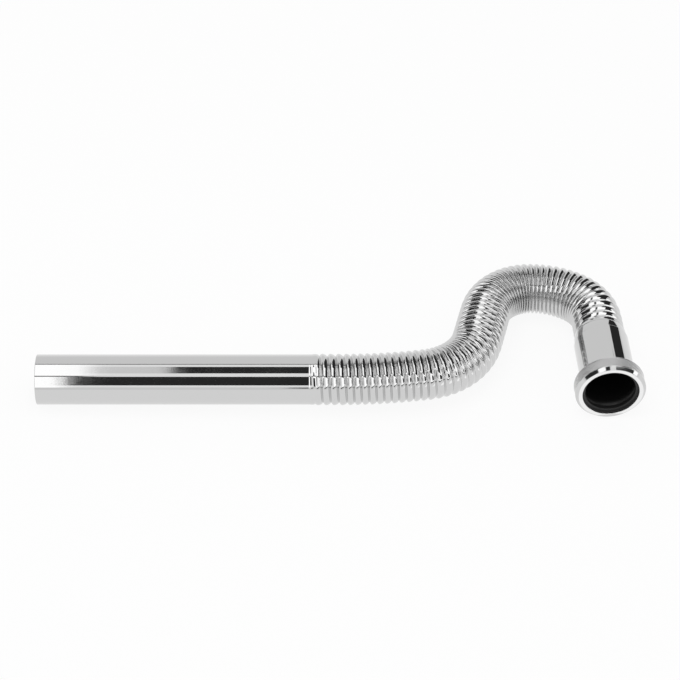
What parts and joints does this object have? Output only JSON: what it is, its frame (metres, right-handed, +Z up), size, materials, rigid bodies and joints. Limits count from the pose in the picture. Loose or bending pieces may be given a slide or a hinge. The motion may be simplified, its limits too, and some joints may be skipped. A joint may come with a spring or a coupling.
{
  "type": "flexible p-trap pipe",
  "caption": "Chromed waste pipe with a plain outlet tube, a bellows bent into a trap and a threaded collar, whose knurled slip nut and rubber washer seal it to a basin's tailpiece.",
  "frame": {"origin": "centre of the overall box, on the surface that the pipe lies on", "axes": "+X along the outlet tube from its open end towards the trap, +Y from the inlet nut towards the back of the bend, +Z up"},
  "size_m": [0.3862, 0.1185, 0.0455],
  "materials": {
    "chromed_pipe": "polished",
    "chromed_nut": "polished, with a fine knurled band",
    "black_rubber": "matt"
  },
  "bodies": {
    "pipe": {"trap_pipe": "chromed_pipe"},
    "washer": {"sealing_washer": "black_rubber"},
    "nut": {"slip_nut": "chromed_nut"}
  },
  "joints": [
    {"name": "washer_slide", "type": "slide", "parent": "pipe", "child": "washer", "axis": [0.06, -0.9964, 0.06], "range_m": [0, 0.00462]},
    {"name": "nut_turn", "type": "hinge", "parent": "washer", "child": "nut", "pos_m": [0.17078, -0.05548, 0.0232], "axis": [0.06, -0.9964, 0.06], "range_deg": [0, 720]}
  ],
  "couplings": [
    {"joint": "washer_slide", "follows": "nut_turn", "m_per_rad": 0.00036749}
  ]
}
